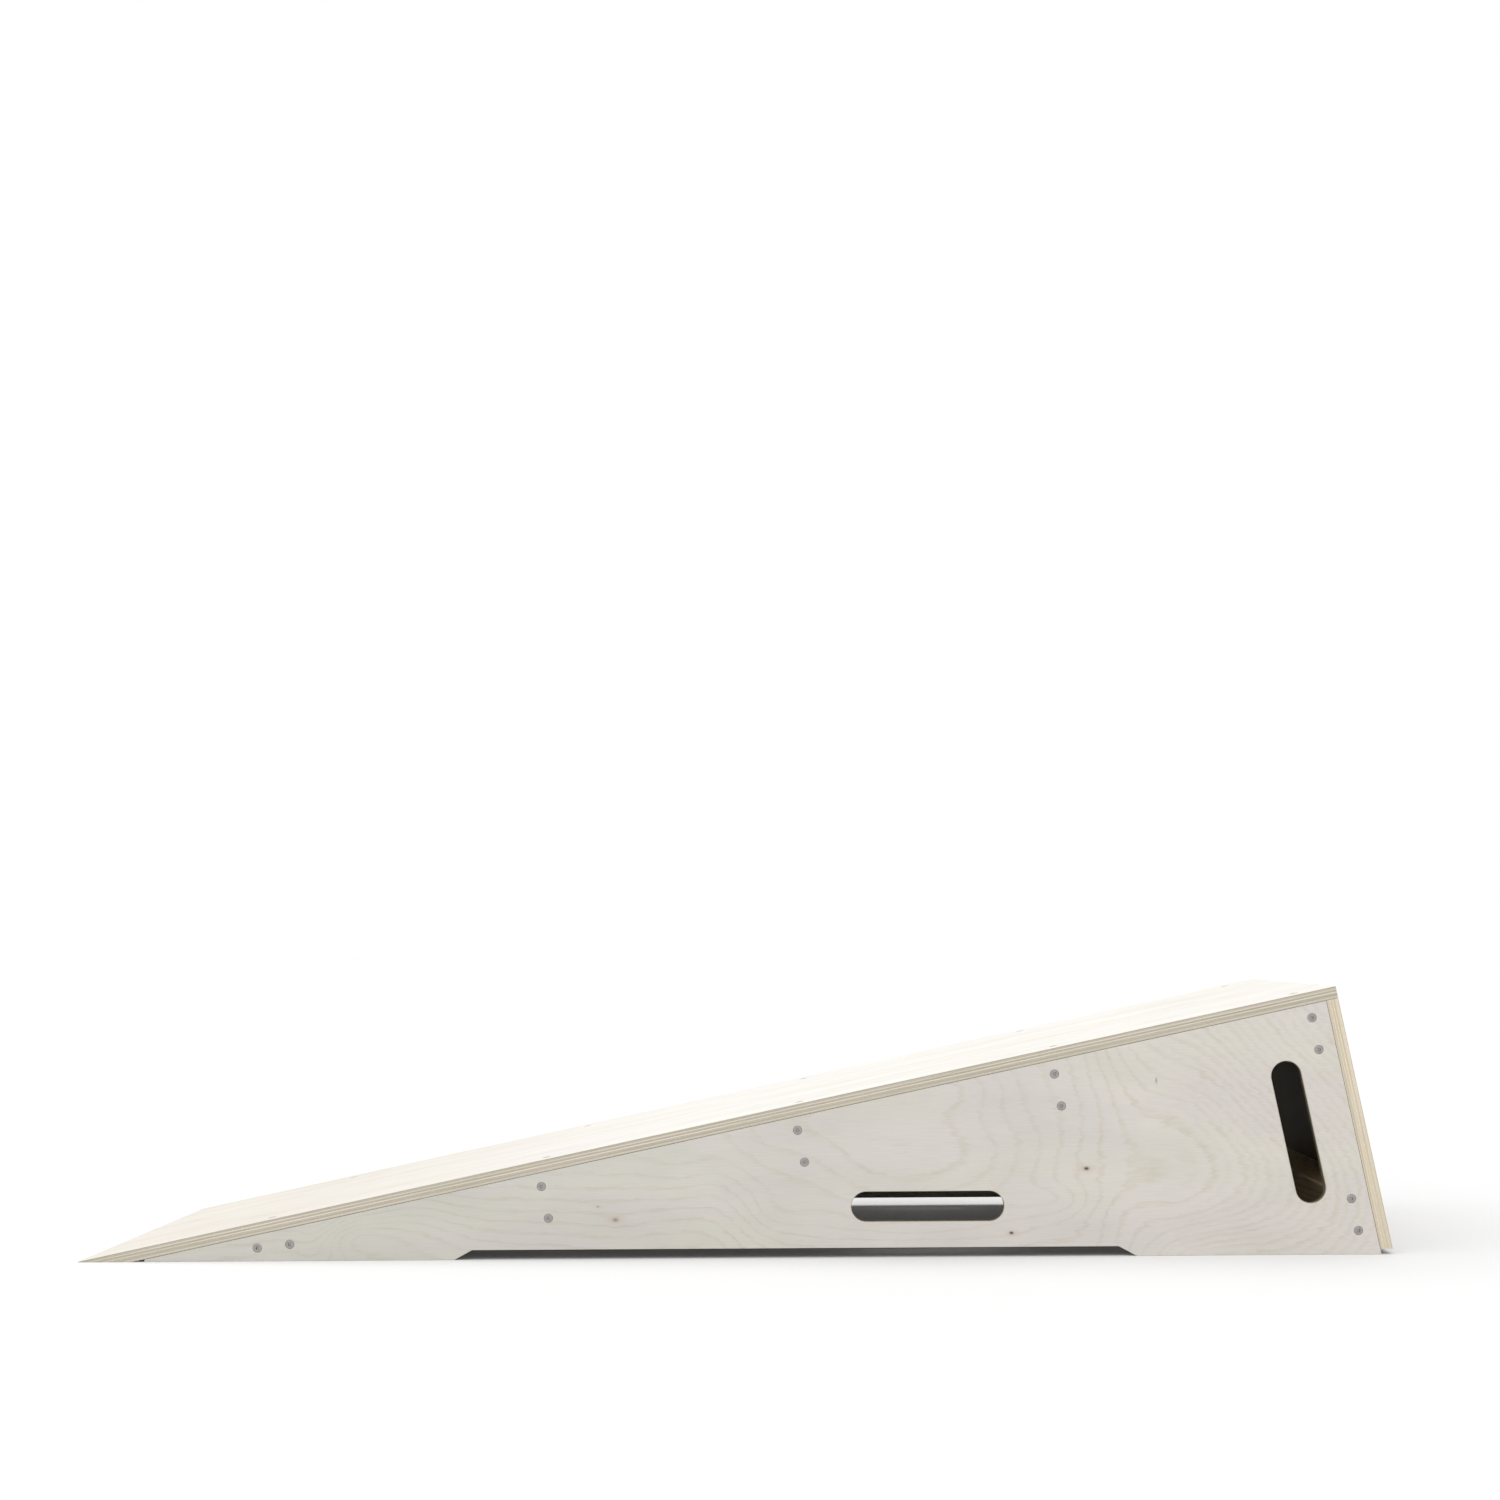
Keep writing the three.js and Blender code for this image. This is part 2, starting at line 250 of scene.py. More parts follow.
# Noise in swells of so many millimetres along x, y and z. An axis without a length is left out.
def spreadNoise(tree, spot, lengths, settings, shift=(0, 0, 0), output=0):
    scales = [1 / length if length else 0 for length in lengths]
    spread = reckonVectors(tree, "MULTIPLY_ADD", spot, scales, shift)
    return addNode(tree, "TexNoise", {"Scale": 1, **settings}, {"Vector": spread}, output)


# A smooth hill, 1 at its top, that falls to 1/e at its reach along x and along y
def bellAt(tree, spot, x, y, along, across):
    offset = reckonVectors(
        tree, "MULTIPLY_ADD", spot, [1 / along, 1 / across, 0], [-x / along, -y / across, 0])
    square = reckonVectors(tree, "DOT_PRODUCT", offset, offset, output="Value")
    return reckon(tree, "POWER", 1 / math.e, square)


# Lays a share of one colour over another. Each is a socket or a hex colour. The Mix node has
# its two colours at inputs 6 and 7, and the mixed one at output 2.
def mixColours(tree, share, lower, upper, blend="MIX"):
    settings, links = {"data_type": "RGBA", "blend_type": blend}, {0: share}
    for key, colour in ((6, lower), (7, upper)):
        if isinstance(colour, str):
            settings[key] = toLinear(colour)
        else:
            links[key] = colour
    return addNode(tree, "Mix", settings, links, 2)


def shade(tree, colour, tone):
    return addNode(tree, "VectorMath", {"operation": "SCALE"}, {0: colour, "Scale": tone})


# The late wood of a growth ring: a slow rise up to its peak and a quick fall
def lateWood(tree, phase, start, peak):
    rise = remap(tree, phase, (start, peak), smooth=True)
    fall = remap(tree, phase, (peak, 1), (1, 0), smooth=True)
    return reckon(tree, "MULTIPLY", rise, fall)


# An empty material, its shader, and the surface's place in the piece's own millimetres
def startMaterial(name, place, settings):
    material = bpy.data.materials.new(name)
    material.use_nodes = True
    tree = material.node_tree
    tree.nodes.clear()
    location, turn, scale = place.inverted().decompose()
    coordinates = addNode(tree, "TexCoord", output="Object")
    spot = addNode(tree, "Mapping", {
        "Location": location, "Rotation": turn.to_euler(), "Scale": scale,
    }, {"Vector": coordinates})
    surface = addNode(tree, "BsdfPrincipled", settings)
    addNode(tree, "OutputMaterial", None, {"Surface": surface})
    return material, tree, spot, surface.node


def wireShader(tree, shader, colour, sheen, relief):
    for name, socket in {"Base Color": colour, "Roughness": sheen, "Normal": relief}.items():
        tree.links.new(socket, shader.inputs[name])


# Sizes of the veneer's patterns in millimetres, along the grain and across it
veneerPattern = {
    "feather": (22, 4.5, None),
    "stretch": (34, 9, None),
    "band": (900, 60, None),
    "lean": (190, 60, None),
    "cloud": (110, 45, None),
    "fibre": (24, 1.1, None),  # 0.2 mm wide in the wood, drawn wider so that they show
    # the two lines of a ring: how far apart they run and where the late wood of each starts,
    # and where it peaks, all as shares of the ring
    "lines": ((0, 0.6), (0.47, 0.66)),
    "peak": 0.9,
}
# How far a knot's parts reach along the grain and across it, for each millimetre of its size
knotForm = {
    "lift": (9, 3.5),
    "halo": (4.2, 1.7),
    "heart": (1.15, 0.8),
    "haloShare": 0.45,
    "fleckShare": 0.6,
}


# Birch face veneer, peeled in one sheet from a turning log and sanded: the blade meets the
# growth rings at a slant, so they show as soft contour lines. Colours are raw, pale wood.
def birchVeneer(name, place, look):
    material, tree, spot, shader = startMaterial(name, place, {
        "IOR": 1.5, "Specular IOR Level": look["gloss"],
    })
    seed = look["seed"]
    x = addNode(tree, "SeparateXYZ", None, {0: spot}, "X")

    # the log's form over the sheet, in millimetres: a tilt, slow swells, then hills by place,
    # also one for each knot
    swell = spreadNoise(
        tree, spot, (look["swellLength"], look["swellWidth"], None),
        {"Detail": 1.5, "Roughness": 0.4}, [seed, 0, 0])
    height = reckonVectors(tree, "DOT_PRODUCT", spot, [*look["tilt"], 0], output="Value")
    height = reckon(tree, "ADD", height, look["level"])
    height = reckon(tree, "MULTIPLY_ADD", swell, look["swell"], height)
    hills = list(look["hills"])
    for knot in look["knots"]:
        knotX, knotY, size = knot[:3]
        along, across = knotForm["lift"]
        hills.append((knotX, knotY, size * along, size * across, size * look["knotLift"]))
    for *hill, lift in hills:
        height = reckon(tree, "MULTIPLY_ADD", bellAt(tree, spot, *hill), lift, height)

    # growth rings, each of its own strength, and frayed along the grain where the blade
    # tore the fibres
    feather = spreadNoise(
        tree, spot, veneerPattern["feather"], {"Detail": 4, "Roughness": 0.6}, [seed, 3, 0])
    rings = reckon(tree, "MULTIPLY", height, 1 / look["ringSpacing"])
    rings = reckon(tree, "MULTIPLY_ADD", feather, look["feather"], rings)
    # and towards one end a second line in each ring, where its growth paused
    paused = remap(
        tree, x, (look["pauseFrom"], look["pauseTo"]), (0, look["pauseShare"]), smooth=True)
    lines = []
    for shift, start in veneerPattern["lines"]:
        line = reckon(tree, "ADD", rings, shift)
        number = reckon(tree, "ADD", reckon(tree, "FLOOR", line), shift)
        strength = addNode(tree, "TexWhiteNoise", {"noise_dimensions": "1D"}, {"W": number})
        strength = remap(tree, strength, (0, 1), look["ringStrength"])
        late = lateWood(tree, reckon(tree, "FRACT", line), start, veneerPattern["peak"])
        lines.append(reckon(tree, "MULTIPLY", late, strength))
    second = reckon(tree, "MULTIPLY", lines[1], paused)
    late = reckon(tree, "MAXIMUM", lines[0], second)
    # and every line thins out and thickens again on its way
    stretch = spreadNoise(tree, spot, veneerPattern["stretch"], {"Detail": 2}, [0, 0, seed + 8])
    stretch = remap(tree, stretch, (0.36, 0.62), (0.4, look["ringShare"]))
    late = reckon(tree, "MULTIPLY", late, stretch)

    # the pale ground drifts along the panel from one tint to the other
    drift = remap(tree, x, (look["tintFrom"], look["tintTo"]), smooth=True)
    ground = mixColours(tree, drift, look["paleStart"], look["paleEnd"])
    colour = mixColours(tree, late, ground, look["lateTint"], "MULTIPLY")

    # creamier bands along the sheet
    band = spreadNoise(tree, spot, veneerPattern["band"], {"Detail": 2}, [seed, 0, 2])
    band = remap(tree, band, (0.4, 0.6), (0, look["bandShare"]))
    colour = mixColours(tree, band, colour, look["bandTint"], "MULTIPLY")

    # the hue leans slowly from straw to rose
    lean = spreadNoise(tree, spot, veneerPattern["lean"], {"Detail": 2}, [0, seed, 5])
    hue = mixColours(tree, remap(tree, lean, (0.38, 0.62)), look["straw"], look["rose"])
    colour = reckonVectors(tree, "MULTIPLY", colour, hue)

    # cloudy tone, and fibres
    cloud = spreadNoise(tree, spot, veneerPattern["cloud"], {"Detail": 2}, [0, seed, 0])
    cloud = remap(tree, cloud, (0.3, 0.7), (0.96, 1.03))
    fibre = spreadNoise(
        tree, spot, veneerPattern["fibre"], {"Detail": 3, "Roughness": 0.6}, [0, 0, seed])
    fibreTone = remap(tree, fibre, (0.25, 0.75), (0.955, 1.035))
    colour = shade(tree, colour, reckon(tree, "MULTIPLY", cloud, fibreTone))

    # pin knots, each a brown heart in a faint halo drawn out along the grain, and dark flecks
    marks = []
    for knotX, knotY, size, heartShare in look["knots"]:
        for part, share in (("halo", knotForm["haloShare"]), ("heart", heartShare)):
            along, across = knotForm[part]
            marks.append((knotX, knotY, size * along, size * across, share, look[part]))
    for fleck in look["flecks"]:
        marks.append((*fleck, knotForm["fleckShare"], look["heart"]))
    for *form, share, tint in marks:
        mark = reckon(tree, "MULTIPLY", bellAt(tree, spot, *form), share)
        colour = mixColours(tree, mark, colour, tint)

    sheen = remap(tree, fibre, (0, 1), (0.5, 0.66))
    grain = addNode(tree, "Bump", {"Strength": 0.25, "Distance": 0.00015}, {"Height": fibre})
    wireShader(tree, shader, colour, sheen, grain)
    return material


plyCount = 9
# Sizes of the edge's patterns in millimetres, along the edges and through the plies
plyPattern = {
    "waver": (40, 40, None),
    "waverReach": 0.12,  # of a ply
    "streak": (34, 34, 0.6),
    "speckle": (1.4, 1.4, 0.7),
    "drift": (150, 150, None),
    "apart": 3.7,  # between the tones of two plies, in swells of their noise
    "glueHalf": 0.125,  # glue lines are 0.1 mm thick, drawn 0.25 mm thick so that they show
    "glueEdge": (0.6, 1.6),  # where it starts to fade and where it ends, in such halves
}


# The sawn and sanded edge of birch plywood: nine plies with their grain crossed in turn, so
# long-grain bands alternate with duller end grain, with dark glue lines between them.
def plyEdge(name, place, look):
    material, tree, spot, shader = startMaterial(name, place, {"IOR": 1.5})
    depth = addNode(tree, "SeparateXYZ", None, {0: spot}, "Z")
    # the sanded outer plies are thinner than the ones between them
    innerPly = (ramp["panel"] - 2 * look["outerPly"]) / (plyCount - 2)
    plies = reckon(tree, "MULTIPLY_ADD", depth, -1 / innerPly, 1 - look["outerPly"] / innerPly)
    waver = spreadNoise(tree, spot, plyPattern["waver"], {"Detail": 1})
    reach = plyPattern["waverReach"]
    plies = reckon(tree, "ADD", plies, remap(tree, waver, (0, 1), (-reach, reach)))
    number = reckon(tree, "FLOOR", plies)
    within = reckon(tree, "FRACT", plies)
    share = reckon(tree, "MULTIPLY_ADD", number, 1 / plyCount, 0.5 / plyCount)
    colour = addNode(tree, "ValToRGB", None, {0: share})
    steps = colour.node.color_ramp
    steps.interpolation = "CONSTANT"
    steps.elements.remove(steps.elements[1])
    for step, tone in enumerate(look["plies"]):
        element = steps.elements[0] if step == 0 else steps.elements.new(step / plyCount)
        element.color = toLinear(tone)

    # on an edge that looks along the face grain the crossed plies are the long-grained ones
    crossed = reckon(tree, "PINGPONG", number, 1)
    facing = addNode(tree, "TexCoord", output="Normal")
    turn = place.inverted().decompose()[1].to_euler()
    facing = addNode(tree, "Mapping", {
        "vector_type": "NORMAL", "Rotation": turn,
    }, {"Vector": facing})
    facing = reckon(tree, "ABSOLUTE", addNode(tree, "SeparateXYZ", None, {0: facing}, "X"))
    endOn = remap(tree, facing, (0.55, 0.85), smooth=True)
    endGrain = reckon(tree, "ABSOLUTE", reckon(tree, "SUBTRACT", crossed, endOn))

    # long grain runs in fine streaks, end grain is a fine speckle, drawn a little coarse
    streak = spreadNoise(tree, spot, plyPattern["streak"], {"Detail": 3, "Roughness": 0.6})
    streak = remap(tree, streak, (0.3, 0.7), (0.93, 1.06))
    speckle = spreadNoise(tree, spot, plyPattern["speckle"], {"Detail": 2})
    speckle = remap(tree, speckle, (0.3, 0.7), (0.84, 1.02))
    grain = addNode(tree, "Mix", {"data_type": "FLOAT"}, {0: endGrain, 2: streak, 3: speckle})
    # each ply came from another log, and its tone and hue drift along the edge
    tone = spreadNoise(
        tree, spot, plyPattern["drift"], {"noise_dimensions": "4D", "Detail": 1})
    tree.links.new(reckon(tree, "MULTIPLY", number, plyPattern["apart"]), tone.node.inputs["W"])
    hue = mixColours(tree, remap(tree, tone, (0.4, 0.6)), look["straw"], look["rose"])
    colour = reckonVectors(tree, "MULTIPLY", colour, hue)
    tone = remap(tree, tone, (0.3, 0.7), (0.9, 1.07))
    colour = shade(tree, colour, reckon(tree, "MULTIPLY", tone, grain))

    glueHalf = plyPattern["glueHalf"] / innerPly
    glueEdge = [glueHalf * share for share in plyPattern["glueEdge"]]
    near = reckon(tree, "PINGPONG", within, 0.5)
    glue = remap(tree, near, glueEdge, (look["glueShare"], 0), smooth=True)
    colour = mixColours(tree, glue, colour, look["glue"])

    sheen = remap(tree, endGrain, (0, 1), (0.66, 0.8))
    relief = reckon(tree, "MULTIPLY_ADD", glue, -0.6, grain)
    sawn = addNode(tree, "Bump", {"Strength": 0.35, "Distance": 0.0002}, {"Height": relief})
    wireShader(tree, shader, colour, sheen, sawn)
    return material


# Sizes of the pine's patterns in millimetres, two ways across the grain and along it
pinePattern = {
    "sway": (60, 60, 420),
    "swayReach": 8,
    "fibre": (0.8, 0.8, 30),  # 0.05 mm thick in the wood, drawn thicker so that they show
    "duct": (1.6, 1.6, 11),
    "late": (0.3, 0.93),  # where a ring's late wood starts and peaks, as shares of the ring
    # how far the rings part around a branch, and by how much, in its radii
    "partingReach": 4,
    "partingPush": 1.2,
    "rimSoftness": 0.85,
}


# Planed pine: growth rings seen as arcs on the sawn ends and as long bands on the faces,
# cream early wood and honey late wood, with a branch knot and short dark resin ducts.
def planedPine(name, place, look):
    material, tree, spot, shader = startMaterial(name, place, {"IOR": 1.5})
    reach = pinePattern["swayReach"]
    sway = spreadNoise(
        tree, spot, pinePattern["sway"], {"Detail": 2, "Roughness": 0.4},
        [look["seed"], 0, 0], "Color")
    sway = reckonVectors(tree, "MULTIPLY_ADD", sway, [2 * reach, 2 * reach, 0], [-reach, -reach, 0])
    pithX, pithY = look["pith"]
    fromPith = reckonVectors(tree, "MULTIPLY_ADD", spot, [1, 1, 0], [-pithX, -pithY, 0])
    swayed = reckonVectors(tree, "ADD", fromPith, sway)
    radius = reckonVectors(tree, "LENGTH", swayed, output="Value")

    # a branch grows straight out from the pith, and the rings part around it
    branchPlace, branchTurn, branchRadius = look["branch"]
    outwardX, outwardY = math.cos(branchTurn), math.sin(branchTurn)
    along = addNode(tree, "SeparateXYZ", None, {0: spot}, "Z")
    along = reckon(tree, "ADD", along, -branchPlace)
    beside = reckonVectors(tree, "DOT_PRODUCT", fromPith, [-outwardY, outwardX, 0], output="Value")
    outward = reckonVectors(tree, "DOT_PRODUCT", fromPith, [outwardX, outwardY, 0], output="Value")
    onSide = reckon(tree, "GREATER_THAN", outward, 0)
    across = addNode(tree, "CombineXYZ", None, {"X": along, "Y": beside})
    away = reckonVectors(tree, "LENGTH", across, output="Value")
    farOff = branchRadius * pinePattern["partingReach"]
    push = branchRadius * pinePattern["partingPush"]
    parting = remap(tree, away, (branchRadius, farOff), (push, 0), smooth=True)
    radius = reckon(tree, "ADD", radius, reckon(tree, "MULTIPLY", parting, onSide))

    rings = reckon(tree, "MULTIPLY", radius, 1 / look["ringSpacing"])
    late = lateWood(tree, reckon(tree, "FRACT", rings), *pinePattern["late"])
    late = reckon(tree, "MULTIPLY", late, look["ringShare"])
    colour = mixColours(tree, late, look["earlyWood"], look["lateWood"])

    fibre = spreadNoise(tree, spot, pinePattern["fibre"], {"Detail": 2, "Roughness": 0.6})
    colour = shade(tree, colour, remap(tree, fibre, (0.3, 0.7), (0.94, 1.04)))
    duct = spreadNoise(tree, spot, pinePattern["duct"], {"Detail": 0})
    duct = remap(tree, duct, (0.72, 0.78), (0, 0.5))
    colour = mixColours(tree, duct, colour, look["duct"])
    for spread, share, tint in ((1.25, 0.9, look["bark"]), (0.95, 0.85, look["knot"])):
        rim = branchRadius * spread
        inside = rim * pinePattern["rimSoftness"]
        heart = remap(tree, away, (inside, rim), (share, 0), smooth=True)
        colour = mixColours(tree, reckon(tree, "MULTIPLY", heart, onSide), colour, tint)

    sheen = remap(tree, late, (0, 1), (0.66, 0.5))
    relief = reckon(tree, "MULTIPLY_ADD", late, 0.8, fibre)
    planed = addNode(tree, "Bump", {"Strength": 0.3, "Distance": 0.0002}, {"Height": relief})
    wireShader(tree, shader, colour, sheen, planed)
    return material


# Zinc-plated steel: a dull, even grey metal. The passivated plating is finely matt, with
# faint cloudy patches, so it mirrors the room only as a soft tone.
def zincSteel(name, look):
    material, tree, spot, shader = startMaterial(name, Matrix.Scale(metre, 4), {"Metallic": 1.0})
    cloud = addNode(tree, "TexNoise", {"Scale": 1 / look["cloud"], "Detail": 3}, {"Vector": spot})
    colour = mixColours(tree, remap(tree, cloud, (0.3, 0.7)), look["dull"], look["bright"])
    sheen = remap(tree, cloud, (0, 1), (0.36, 0.5))
    grit = addNode(tree, "TexNoise", {"Scale": 1 / look["grit"], "Detail": 2}, {"Vector": spot})
    plating = addNode(tree, "Bump", {"Strength": 0.2, "Distance": 0.00003}, {"Height": grit})
    wireShader(tree, shader, colour, sheen, plating)
    return material


# Camera
camera = {
    "location": (0.09369, -2.73081, 0.30435),
    "yaw": -0.628,  # degrees
    "pitch": -0.689,
    "roll": -0.432,
    "sensor": 36,  # millimetres wide
    "lens": 61.454,  # millimetres
    "shiftX": -0.0333,
    "shiftY": 0.15,
    "farthest": 200,  # metres
}
yaw, pitch, roll = (math.radians(camera[key]) for key in ("yaw", "pitch", "roll"))
view = Vector((math.sin(yaw) * math.cos(pitch), math.cos(yaw) * math.cos(pitch), math.sin(pitch)))
level = Vector((math.cos(yaw), -math.sin(yaw), 0))
overhead = level.cross(view)
cameraRight = level * math.cos(roll) + overhead * math.sin(roll)
cameraUp = overhead * math.cos(roll) - level * math.sin(roll)
cameraData = bpy.data.cameras.new("camera")
cameraData.sensor_width = camera["sensor"]
cameraData.lens = camera["lens"]
cameraData.shift_x = camera["shiftX"]
cameraData.shift_y = camera["shiftY"]
cameraData.clip_end = camera["farthest"]
cameraObject = bpy.data.objects.new("camera", cameraData)
turn = Matrix((cameraRight, cameraUp, -view)).transposed().to_4x4()
cameraObject.matrix_world = Matrix.Translation(camera["location"]) @ turn
bpy.context.scene.collection.objects.link(cameraObject)
bpy.context.scene.camera = cameraObject

# Light: an even dome and one broad overhead lamp, a little to the front and left
light = {
    "dome": 0.7,
    "lamp": 1.9,
    "spread": 110,  # degrees
    "towards": (-0.30, -0.15, 1.0),
}
bpy.context.scene.view_settings.view_transform = "Standard"


# 1 for what the camera sees, straight, mirrored or through something, and 0 for bounced light
def seenByCamera(tree):
    rays = addNode(tree, "LightPath").node.outputs
    seen = reckon(tree, "MAXIMUM", rays["Is Camera Ray"], rays["Is Glossy Ray"])
    return reckon(tree, "MAXIMUM", seen, rays["Is Transmission Ray"])


world = bpy.data.worlds.new("studio")
bpy.context.scene.world = world
world.use_nodes = True
sky = world.node_tree
sky.nodes.clear()
brightness = remap(sky, seenByCamera(sky), (0, 1), (light["dome"], 1))
background = addNode(sky, "Background", {"Color": toLinear("#ffffff")}, {"Strength": brightness})
addNode(sky, "OutputWorld", None, {"Surface": background})

lampData = bpy.data.lights.new("overhead lamp", "SUN")
lampData.energy = light["lamp"]
lampData.angle = math.radians(light["spread"])
lamp = bpy.data.objects.new("overhead lamp", lampData)
lamp.rotation_euler = Vector(light["towards"]).to_track_quat("Z", "Y").to_euler()
bpy.context.scene.collection.objects.link(lamp)

# Floor
floorLook = {
    "size": 60,  # metres, half of its side
    "paint": "#e3e3e3",  # as the camera and the steel see it
    "paintDrift": "#e1e1e1",
    "drift": 1.2,  # swells in each metre
    "bounce": "#b4b4b4",  # as it lights the ramp, so that pale undersides keep their shade
    "glow": 0.04,  # painted light: a faint glow that only the camera sees, which lifts the shadows on the floor
}
bm = bmesh.new()
bmesh.ops.create_grid(bm, x_segments=1, y_segments=1, size=floorLook["size"])
floorMesh = bpy.data.meshes.new("floor")
bm.to_mesh(floorMesh)
bm.free()
floor = bpy.data.objects.new("floor", floorMesh)
bpy.context.scene.collection.objects.link(floor)
# Matt floor paint, evenly rolled, with the least drift of tone
material, tree, spot, shader = startMaterial("matt floor paint", Matrix.Identity(4), {
    "Roughness": 0.9, "Specular IOR Level": 0.1, "Emission Color": toLinear("#ffffff"),
})
drift = addNode(tree, "TexNoise", {"Scale": floorLook["drift"], "Detail": 2}, {"Vector": spot})
paint = mixColours(tree, drift, floorLook["paint"], floorLook["paintDrift"])
seen = seenByCamera(tree)
paint = mixColours(tree, seen, floorLook["bounce"], paint)
# painted light: the floor glows faintly to the camera, so its shadows are lifted
glow = reckon(tree, "MULTIPLY", seen, floorLook["glow"])
tree.links.new(paint, shader.inputs["Base Color"])
tree.links.new(glow, shader.inputs["Emission Strength"])
floorMesh.materials.append(material)
print("camera, light and floor set")

# Screws: where each one stands, as in the part's source
screwPattern = {
    "pairSpacing": 31.6,
    "deckInset": 32,
    "deckOffset": 7,
    "backShare": 0.25,
    "sideLength": 45,
    "deckLength": 35,
    "backLength": 35,
    "sink": 0.2,
    "deckSink": 0.6,  # clear of the wheels
}
timber = {
    "thickness": 34,
    "depth": 58,
    "ease": 1.5,
    "easeSteps": 3,
    "firstDistance": 457,
    "lowerClearance": 6.8,
    "noseDistance": 191,
    "noseWidth": 58,
}
backInner = ramp["deckLength"] - ramp["panel"]
rearAlong = backInner - ramp["gap"] - timber["thickness"] / 2
rearFront = rearAlong - timber["thickness"] / 2
battenSpacing = (rearAlong - timber["firstDistance"]) / 3
upperDepth = undersideDepth + timber["depth"] / 2
lowerDepth = depthAtHeight(rearFront, timber["lowerClearance"]) - timber["depth"] / 2
battenLength = ramp["width"] - 2 * undersideDepth
battenRows = {
    "low": (timber["firstDistance"], upperDepth),
    "mid": (timber["firstDistance"] + battenSpacing, upperDepth),
    "high": (timber["firstDistance"] + battenSpacing * 2, upperDepth),
    "rear_upper": (rearAlong, upperDepth),
    "rear_lower": (rearAlong, lowerDepth),
}
hands = {"right": -1, "left": 1}
# How far up the deck its screws stand: beside the middles of the battens, and on the nose block
deckSpots = {
    row: battenRows[row][0] + shift * screwPattern["deckOffset"]
    for row, shift in {"low": 1, "mid": 1, "high": 1, "rear_upper": -1}.items()
}
deckSpots["nose"] = timber["noseDistance"] * slopeCos


def rowPoint(sideView, y):
    return tip + Vector((sideView[0], y, sideView[1])) * metre


screws = []


def addScrew(node, mouth, facing, length, panel, holds):
    xAxis = facing.cross(sideways) if abs(facing.y) < 0.5 else forward
    place = placement(mouth, xAxis, facing.cross(xAxis), facing)
    sink = screwPattern["deckSink" if panel == "deck_panel" else "sink"]
    screws.append({
        "node": node, "place": place, "length": length, "sink": sink,
        "panel": panel, "timber": holds,
    })


for hand, sign in hands.items():
    face = sideways * sign
    sidePanel = "side_panel_" + hand
    for step, share in enumerate((-0.5, 0.5)):
        x = timber["noseDistance"] + share * screwPattern["pairSpacing"]
        mouth = rowPoint((x, heightBelowDeck(x, undersideDepth) / 2), sign * halfWidth)
        addScrew(f"{hand}_screw_nose_{step + 1}", mouth, face,
                 screwPattern["sideLength"], sidePanel, "nose_block")
        for row, (along, depth) in battenRows.items():
            below = depth + share * screwPattern["pairSpacing"]
            mouth = rowPoint(onSlope(along, below), sign * halfWidth)
            addScrew(f"{hand}_screw_{row}_{step + 1}", mouth, face,
                     screwPattern["sideLength"], sidePanel, "batten_" + row)
    deckY = sign * (halfWidth - screwPattern["deckInset"])
    for row, along in deckSpots.items():
        holds = "nose_block" if row == "nose" else "batten_" + row
        addScrew(f"deck_screw_{row}_{hand}", rowPoint(onSlope(along, 0), deckY), deckNormal,
                 screwPattern["deckLength"], "deck_panel", holds)
    backY = sign * ramp["width"] * screwPattern["backShare"]
    for tier, depth in {"upper": upperDepth, "lower": lowerDepth}.items():
        mouth = rowPoint(onSlope(ramp["deckLength"], depth), backY)
        addScrew(f"back_screw_{tier}_{hand}", mouth, uphill,
                 screwPattern["backLength"], "back_panel", "batten_rear_" + tier)

screw = {
    "headRadius": 4.25,
    "headRim": 0.4,
    "flatInset": 0.7,  # of the head's flat top from its radius
    "edgeInset": 0.15,
    "edgeDrops": (0.02, 0.12),  # the top's eased edge, inner and outer
    "shankRadius": 1.6,
    "threadRadius": 2.25,
    "threadRoot": 1.45,
    "threadPitch": 2.2,
    "threadShare": 0.62,
    "threadRunIn": 0.8,
    "threadCrest": 1.5,  # power that narrows the crest
    "point": 5,
    "tipRadius": 0.12,
    "driveRadius": 1.68,
    "driveLobes": 6,
    "driveLobe": 0.16,  # as a share of its radius
    "driveDepth": 2,
    "driveEase": 0.2,
    "driveFlare": 0.12,
    "driveFloor": (0.35, 0.93),  # radii of its floor and its foot, as shares of the drive's
    "steps": 24,
    "sharp": 35,  # degrees
}
hole = {
    "clearance": 0.15,
    "mouthEase": 0.15,
    "radius": 2.5,
    "steps": 24,
    "tipRadius": 0.5,
    "tipClearance": 0.5,
    "pilotSteps": 12,
}
mouthRadius = screw["headRadius"] + hole["clearance"]
# The finishes of a panel's faces, in the order of its materials
# the last finish is painted shade, a dark ply edge for the walls of slots and screw holes
panelFinish = {"outer": 0, "edge": 1, "inner": 2, "paintedShade": 3}


def countersink(sink):
    coneDepth = sink + screw["headRim"]
    return [
        (mouthRadius + hole["mouthEase"], 0),
        (mouthRadius, hole["mouthEase"]),
        (mouthRadius, coneDepth),
        (hole["radius"], coneDepth + mouthRadius - hole["radius"]),
        (hole["radius"], ramp["panel"]),
    ]


# The holes of the screws that hold a piece, in that piece's own millimetres
def screwHoles(name, place):
    back = place.inverted()
    holes = []
    for item in screws:
        if item["panel"] == name:
            holes.append({
                "place": back @ item["place"], "profile": countersink(item["sink"]),
                "steps": hole["steps"],
                # the hole's walls take the painted shade finish
                "finishes": [panelFinish["edge"]] + [panelFinish["paintedShade"]] * 3,
            })
        elif item["timber"] == name:
            pilot = [
                (hole["radius"], undersideDepth),
                (hole["radius"], item["length"] - screw["point"]),
                (hole["tipRadius"], item["length"] + hole["tipClearance"]),
            ]
            holes.append({
                "place": back @ item["place"], "profile": pilot,
                "steps": hole["pilotSteps"], "blind": True,
            })
    return holes


def isLong(edge):
    return abs(edge.verts[0].co.z - edge.verts[1].co.z) > battenLength / 2


def anyEdge(edge):
    return True


